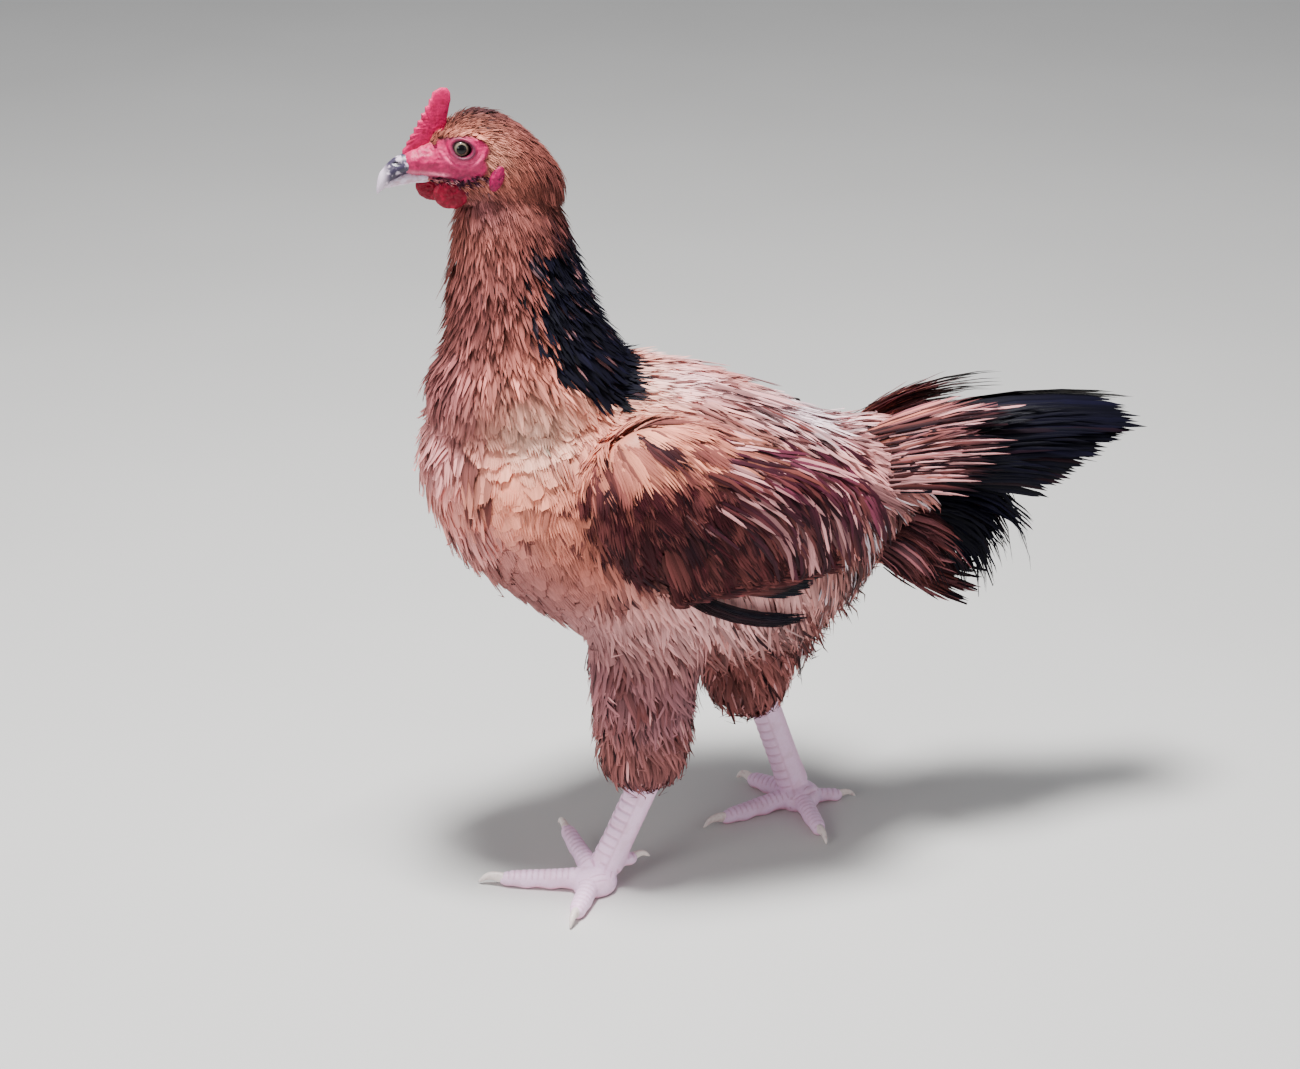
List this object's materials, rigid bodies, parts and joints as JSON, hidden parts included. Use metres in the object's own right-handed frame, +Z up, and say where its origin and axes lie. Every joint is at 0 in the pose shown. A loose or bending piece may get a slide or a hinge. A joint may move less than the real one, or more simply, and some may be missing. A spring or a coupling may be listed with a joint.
{
  "type": "hen",
  "caption": "Life-size standing hen in mid-stride, buff brown with a black neck cape and tail, red comb, bare pink shanks.",
  "frame": {"origin": "centre of the bottom of the bounding box, on the floor under the body", "axes": "+Z up; the bird faces -X, its left side is -Y"},
  "size_m": [0.4286, 0.1644, 0.4512],
  "materials": {
    "body_feathers": "soft buff feather",
    "neck_feathers": "streaked brown hackle ending in glossy black",
    "head_feathers": "small streaked buff feather round a bare red face",
    "wing_feathers": "chestnut feather, darker flight feathers",
    "tail_feathers": "glossy black feather with brown coverts",
    "leg_feathers": "loose buff-brown feather",
    "comb_skin": "bare red skin, slightly moist",
    "beak_horn": "smooth horn, stands in for keratin",
    "leg_skin": "pale pink scaled skin",
    "claw_horn": "smooth pale horn",
    "eye": "wet and glossy"
  },
  "bodies": {
    "root": {"torso": "body_feathers", "neck": "neck_feathers", "head": "head_feathers", "beak_upper": "beak_horn", "beak_lower": "beak_horn", "comb": "comb_skin", "tail": "tail_feathers", "wing_left": "wing_feathers", "eye_left": "eye", "wattle_left": "comb_skin", "earlobe_left": "comb_skin", "thigh_left": "leg_feathers", "shank_left": "leg_skin", "foot_pad_left": "leg_skin", "toe_inner_left": "leg_skin", "claw_inner_left": "claw_horn", "toe_middle_left": "leg_skin", "claw_middle_left": "claw_horn", "toe_outer_left": "leg_skin", "claw_outer_left": "claw_horn", "toe_hind_left": "leg_skin", "claw_hind_left": "claw_horn", "wing_right": "wing_feathers", "eye_right": "eye", "wattle_right": "comb_skin", "earlobe_right": "comb_skin", "thigh_right": "leg_feathers", "shank_right": "leg_skin", "foot_pad_right": "leg_skin", "toe_inner_right": "leg_skin", "claw_inner_right": "claw_horn", "toe_middle_right": "leg_skin", "claw_middle_right": "claw_horn", "toe_outer_right": "leg_skin", "claw_outer_right": "claw_horn", "toe_hind_right": "leg_skin", "claw_hind_right": "claw_horn"}
  },
  "joints": []
}
